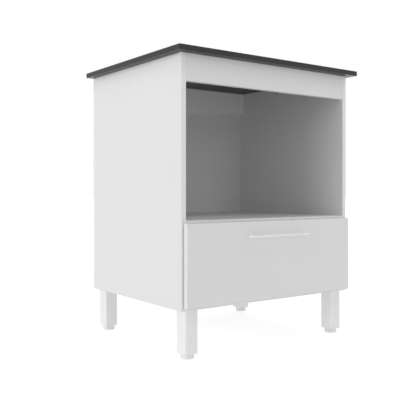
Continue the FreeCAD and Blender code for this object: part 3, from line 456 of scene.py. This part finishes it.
low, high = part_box("handle")
shells = [handle_bar(low, high), handle_post(-1, low, high), handle_post(1, low, high)]
handle = put("swept_handle", moulding("swept_handle", shells))
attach(handle, "drawer")
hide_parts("handle")
print("handle of", len(handle.data.polygons), "faces")

# %% [markdown]
# ## Plastics and metals
#
# These surfaces are alike in kind: a fine grain sets the roughness and the relief, while the colour
# drifts slowly between two near tones. They differ in a few numbers, so one function makes them
# all.

# %% A fine grain and a slow drift
def drifting(name, tones, rough, grain, drift, relief, more):
    """A material from two noises, each given by a size in millimetres and a detail. The grain sets
    the roughness, from its least to its most, and the relief, by a strength and a depth in metres.
    The drift moves the colour between the tones. More are further inputs of the shader."""
    material, place = blank(name)
    fine, slow = (add(material, "TexNoise", {"Vector": place["Object"], "Scale": per_metre(size),
                                             "Detail": detail}) for size, detail in (grain, drift))
    colour = add(material, "Mix", {0: slow, 6: linear(tones[0]), 7: linear(tones[1])},
                 data_type="RGBA")
    satin = add(material, "MapRange", {"Value": fine, "To Min": rough[0], "To Max": rough[1]})
    bump = add(material, "Bump", {"Strength": relief[0], "Distance": relief[1], "Height": fine})
    shader = add(material, "BsdfPrincipled",
                 {"Base Color": colour.outputs[2], "Roughness": satin, "Normal": bump, **more})
    return finish_with(material, shader)


# %% [markdown]
# Legs and feet are white polypropylene. The mould's spark-eroded walls leave them satin, and the
# plastic lets a little light in, which softens its edges. The handle comes from a polished mould
# and is glossy. The runners' rollers are nylon without dye, a waxy ivory, and the pads behind the
# drawer front are clear soft plastic.

# %% Moulded plastics
SCATTER = (1.0, 0.9, 0.8)  # how far red, green and blue light spread inside, against each other
SCATTER_REACH = 0.002
FLOW = 14  # the drift of the melt, in sizes of the grain
POLYPROPYLENE = {"relief": 0.0002, "ior": 1.49, "inner": 0.1}


def moulded(name, colour, shade, dull, grain, relief, ior, inner=0.0, clear=0.0):
    """A moulded plastic. Grain is the size of its texture in millimetres, drawn some ten times
    coarser than real so that it shows, relief its height in metres, inner how much light scatters
    below the surface and clear how much passes through."""
    return drifting(name, (shade, colour), rough=(dull * 0.85, dull * 1.15), grain=(grain, 3.0),
                    drift=(grain * FLOW, 2.0), relief=(0.35, relief),
                    more={"IOR": ior, "Subsurface Weight": inner, "Subsurface Radius": SCATTER,
                          "Subsurface Scale": SCATTER_REACH, "Transmission Weight": clear})


ends = ("front_left", "front_right", "back_left", "back_right")
wear([f"leg_{end}" for end in ends],
     moulded("satin_polypropylene", "#F5F5F5", "#F2F2F2", dull=0.42, grain=1.8, **POLYPROPYLENE))
wear([f"foot_{end}" for end in ends],
     moulded("feet_polypropylene", "#F1F1F1", "#EDEDED", dull=0.46, grain=1.6, **POLYPROPYLENE))
handle.data.materials.append(
    moulded("glossy_handle_plastic", "#F5F5F5", "#F2F2F2", dull=0.16, grain=9.0, relief=0.0001,
            ior=1.54))
wear([*both("cabinet_roller"), *both("drawer_roller")],
     moulded("natural_nylon", "#E7E2D3", "#DDD7C6", dull=0.38, grain=1.2, relief=0.0001, ior=1.53,
             inner=0.3))
wear(["drawer_bumpers"],
     moulded("clear_bumper", "#F2F2F0", "#EDEDEA", dull=0.30, grain=1.0, relief=0.0001, ior=1.49,
             clear=0.8))

# %% [markdown]
# The runners are folded steel under a white powder coat, whose melted grains leave the surface of
# an orange peel. Screws, nails, bolts and brackets are zinc plated: a cool bright metal with a thin
# film that drifts from blue to straw. The cams are cast zinc, greyer and cloudier, and the rollers'
# axles are plain bright steel. A metal has no colour of its own underneath, so its tint and its
# roughness are all that tells them apart.

# %% Powder coat and bare metals
PEEL = 2.2
COAT_DRIFT = 60
PLATING_DRIFT = 7


def metal(name, bright, film, dull, grain, relief):
    """A bare metal. Bright and film are the tones its surface drifts between, grain the size of its
    relief in millimetres, drawn coarser than real so that it shows, and relief its height in
    metres."""
    return drifting(name, (film, bright), rough=(dull * 0.75, dull * 1.25), grain=(grain, 4.0),
                    drift=(PLATING_DRIFT, 3.0), relief=(0.4, relief), more={"Metallic": 1.0})


wear([*both("cabinet_runner"), *both("drawer_runner")],
     drifting("powder_coated_steel", ("#E2E2DF", "#E9E9E6"), rough=(0.28, 0.42), grain=(PEEL, 1.0),
              drift=(COAT_DRIFT, 2.0), relief=(0.4, 0.0002), more={}))
zinc_plated = ["back_nails", "leg_screws", "bracket_screws", "worktop_brackets",
               "cabinet_runner_screws", "drawer_runner_screws", "drawer_floor_screws",
               "drawer_back_screws", "carcass_cam_bolts", "drawer_cam_bolts", "handle_screws"]
wear(zinc_plated,
     metal("zinc_plated_steel", "#D3D7DC", "#C9C4B4", dull=0.30, grain=0.8, relief=0.00005))
wear(["carcass_cams", "drawer_cams"],
     metal("cast_zinc", "#B4B6B8", "#9FA1A3", dull=0.45, grain=1.4, relief=0.0001))
wear(["cabinet_roller_axles", "drawer_roller_axles"],
     metal("bright_steel", "#C8C8C6", "#BDBDBA", dull=0.24, grain=0.6, relief=0.00004))

# %% [markdown]
# ## Beech dowels
#
# The dowels hide in the joints, and show only where a joint is open. Beech is even and pinkish,
# with short dark flecks along the grain, so one stretched noise gives the grain, and small
# stretched cells the flecks.

# %% Beech
BEECH_DRAWN = (0.12, 1.0, 1.0)
BEECH_GRAIN = 1.5
BEECH_FLECK = 0.7
FLECK_SIZE = 0.12  # the share of a cell, from its middle, that is dark


def beech(name):
    """Pinkish wood with its grain and its flecks along X."""
    material, place = blank(name)
    drawn = add(material, "Mapping", {"Vector": place["Object"], "Scale": BEECH_DRAWN})
    grain = add(material, "TexNoise",
                {"Vector": drawn, "Scale": per_metre(BEECH_GRAIN), "Detail": 5.0})
    flecks = add(material, "TexVoronoi", {"Vector": drawn, "Scale": per_metre(BEECH_FLECK)})
    wood = add(material, "Mix", {0: grain, 6: linear("#B98A5E"), 7: linear("#DDB98F")},
               data_type="RGBA")
    dark = add(material, "Math", {0: flecks.outputs["Distance"], 1: FLECK_SIZE},
               operation="LESS_THAN")
    colour = add(material, "Mix", {0: dark, 6: wood.outputs[2], 7: linear("#8C6240")},
                 data_type="RGBA")
    relief = add(material, "Bump", {"Strength": 0.4, "Distance": 0.0001, "Height": grain})
    shader = add(material, "BsdfPrincipled",
                 {"Base Color": colour.outputs[2], "Roughness": 0.62, "Normal": relief})
    return finish_with(material, shader)


wear(["carcass_dowels", "drawer_dowels"], beech("pressed_beech"))

# %% [markdown]
# ## Floor, light and camera
#
# The cabinet stands in a white studio. The floor is a plain pale sheet. For the camera it also
# glows a little, more with the distance, so that it meets the white background without a line and
# still keeps a soft shadow under the cabinet. A weaker glow lights the legs from below, as the
# white floor of a real studio does.

# %% The floor's shape
FLOOR_REACH = 40.0
FLOOR_RINGS = 24
FLOOR_SIDES = 72


def floor_sheet():
    """A round sheet at height 0: each point is at radius r and angle a, and r grows with the square
    of the ring's number, so that the rings are fine under the cabinet."""
    ring = np.linspace(0.02, 1, FLOOR_RINGS) ** 2 * FLOOR_REACH
    angle = np.linspace(0, 2 * math.pi, FLOOR_SIDES, endpoint=False)
    radius, turn = np.meshgrid(ring, angle, indexing="ij")
    points = np.stack([radius * np.cos(turn), radius * np.sin(turn), 0 * turn], -1).reshape(-1, 3)
    faces = bands(FLOOR_RINGS, FLOOR_SIDES)[:, ::-1]
    mesh = bpy.data.meshes.new("floor")
    mesh.from_pydata(points.tolist(), [], [*faces.tolist(), list(range(FLOOR_SIDES))])
    return mesh


floor = put("floor", floor_sheet())
print("floor", FLOOR_REACH, "m to its rim")

# %% The floor's look
PAPER_CLOUDS = 40
GLOW_NEAR, GLOW_FAR = 0.5, 1.0  # for the camera
NEAR_TO, FAR_FROM = 0.8, 4.0
GLOW_UNDER, GLOW_AROUND = 0.28, 0.17  # for light on its way
UNDER_TO, AROUND_FROM = 0.35, 0.9
WHITE = (1.0, 1.0, 1.0, 1.0)


def seen_directly(material):
    """1 for a ray from the camera, off a glossy surface or through a clear one, and 0 for light on
    its way."""
    path = add(material, "LightPath").outputs
    mirrored = add(material, "Math", {0: path["Is Camera Ray"], 1: path["Is Glossy Ray"]},
                   operation="MAXIMUM")
    return add(material, "Math", {0: mirrored, 1: path["Is Transmission Ray"]},
               operation="MAXIMUM")


def studio_floor(name):
    """Matt pale paper that also glows, by one strength for the camera and another for the light."""
    paper, place = blank(name)
    clouds = add(paper, "TexNoise",
                 {"Vector": place["Object"], "Scale": per_metre(PAPER_CLOUDS), "Detail": 3.0})
    tone = add(paper, "Mix", {0: clouds, 6: linear("#E4E4E4"), 7: linear("#E8E8E8")},
               data_type="RGBA")
    matt = add(paper, "BsdfDiffuse", {"Color": tone.outputs[2], "Roughness": 0.6})
    away = add(paper, "VectorMath", {0: place["Object"]}, operation="LENGTH").outputs["Value"]
    fade = add(paper, "MapRange",
               {"Value": away, "From Min": NEAR_TO, "From Max": FAR_FROM,
                "To Min": GLOW_NEAR, "To Max": GLOW_FAR}, interpolation_type="SMOOTHSTEP")
    bounce = add(paper, "MapRange",
                 {"Value": away, "From Min": UNDER_TO, "From Max": AROUND_FROM,
                  "To Min": GLOW_UNDER, "To Max": GLOW_AROUND}, interpolation_type="SMOOTHSTEP")
    strength = add(paper, "Mix", {0: seen_directly(paper), 2: bounce, 3: fade})
    glow = add(paper, "Emission", {"Color": WHITE, "Strength": strength})
    return finish_with(paper, add(paper, "AddShader", {0: matt, 1: glow}))


floor.data.materials.append(studio_floor("studio_floor"))
print("floor glows", GLOW_NEAR, "near and", GLOW_FAR, "far")

# %% [markdown]
# Square lamps stand 5 m away, so that their light falls nearly evenly over a whole side. The
# strongest, low on the left, makes the left side the brightest. A smaller one on the right draws
# the soft shadow under the handle, and one behind keeps the far sides from going dull. The sky adds
# the even light that softens every shadow.

# %% Lamps and sky
SKY = 0.46
LAMP_DISTANCE = 5.0
MIDDLE = Vector((0.0, 0.0, 0.45))


def soft_lamp(name, power, azimuth, height, size=3.0):
    """A square area lamp that looks at the cabinet's middle. Azimuth is 0 in front and 90 on the
    right, and height is its angle above the horizon, both in degrees. Size is the length of its
    side in metres."""
    turn, rise = math.radians(azimuth), math.radians(height)
    flat = math.cos(rise)
    way = Vector((math.sin(turn) * flat, -math.cos(turn) * flat, math.sin(rise)))
    lamp = bpy.data.lights.new(name, "AREA")
    lamp.shape, lamp.size, lamp.energy = "SQUARE", size, power
    thing = put(name, lamp)
    thing.location = MIDDLE + way * LAMP_DISTANCE
    thing.rotation_euler = (-way).to_track_quat("-Z", "Y").to_euler()
    thing.visible_camera = False


soft_lamp("left_low", power=74, azimuth=-90, height=10)
soft_lamp("left_high", power=32, azimuth=-90, height=60)
soft_lamp("right", power=28, azimuth=45, height=50, size=1.2)
soft_lamp("front", power=22, azimuth=0, height=20)
soft_lamp("behind", power=45, azimuth=135, height=40)
world = bpy.data.worlds.new("studio")
bpy.context.scene.world = world
world.use_nodes = True
world.node_tree.nodes.clear()
level = add(world, "MapRange", {"Value": seen_directly(world), "To Min": SKY, "To Max": 1.0})
sky = add(world, "Background", {"Color": WHITE, "Strength": level})
add(world, "OutputWorld", {"Surface": sky})
print("sky", SKY, "and five lamps")

# %% [markdown]
# The camera stands where it shows the same edges at the same slopes as the picture that the cabinet
# is modelled on: level, a little above the middle of the cabinet, and turned to its front left
# corner.

# %% The camera
PICTURE = 400
FOCAL = 637.5  # in pixels of the picture
STAND = (-1.3013, -1.6101, 0.4581)
LOOK_RIGHT = 34.69
SHIFT = (0.0625, -0.025)  # of the picture, as a share of its width
view = bpy.data.cameras.new("camera")
view.sensor_width = 36.0
view.lens = FOCAL / PICTURE * view.sensor_width
view.shift_x, view.shift_y = SHIFT
camera = put("camera", view)
camera.location = STAND
camera.rotation_euler = (math.radians(90), 0.0, -math.radians(LOOK_RIGHT))
bpy.context.scene.camera = camera
bpy.context.scene.view_settings.view_transform = "Standard"
print("lens", round(view.lens, 1), "mm")
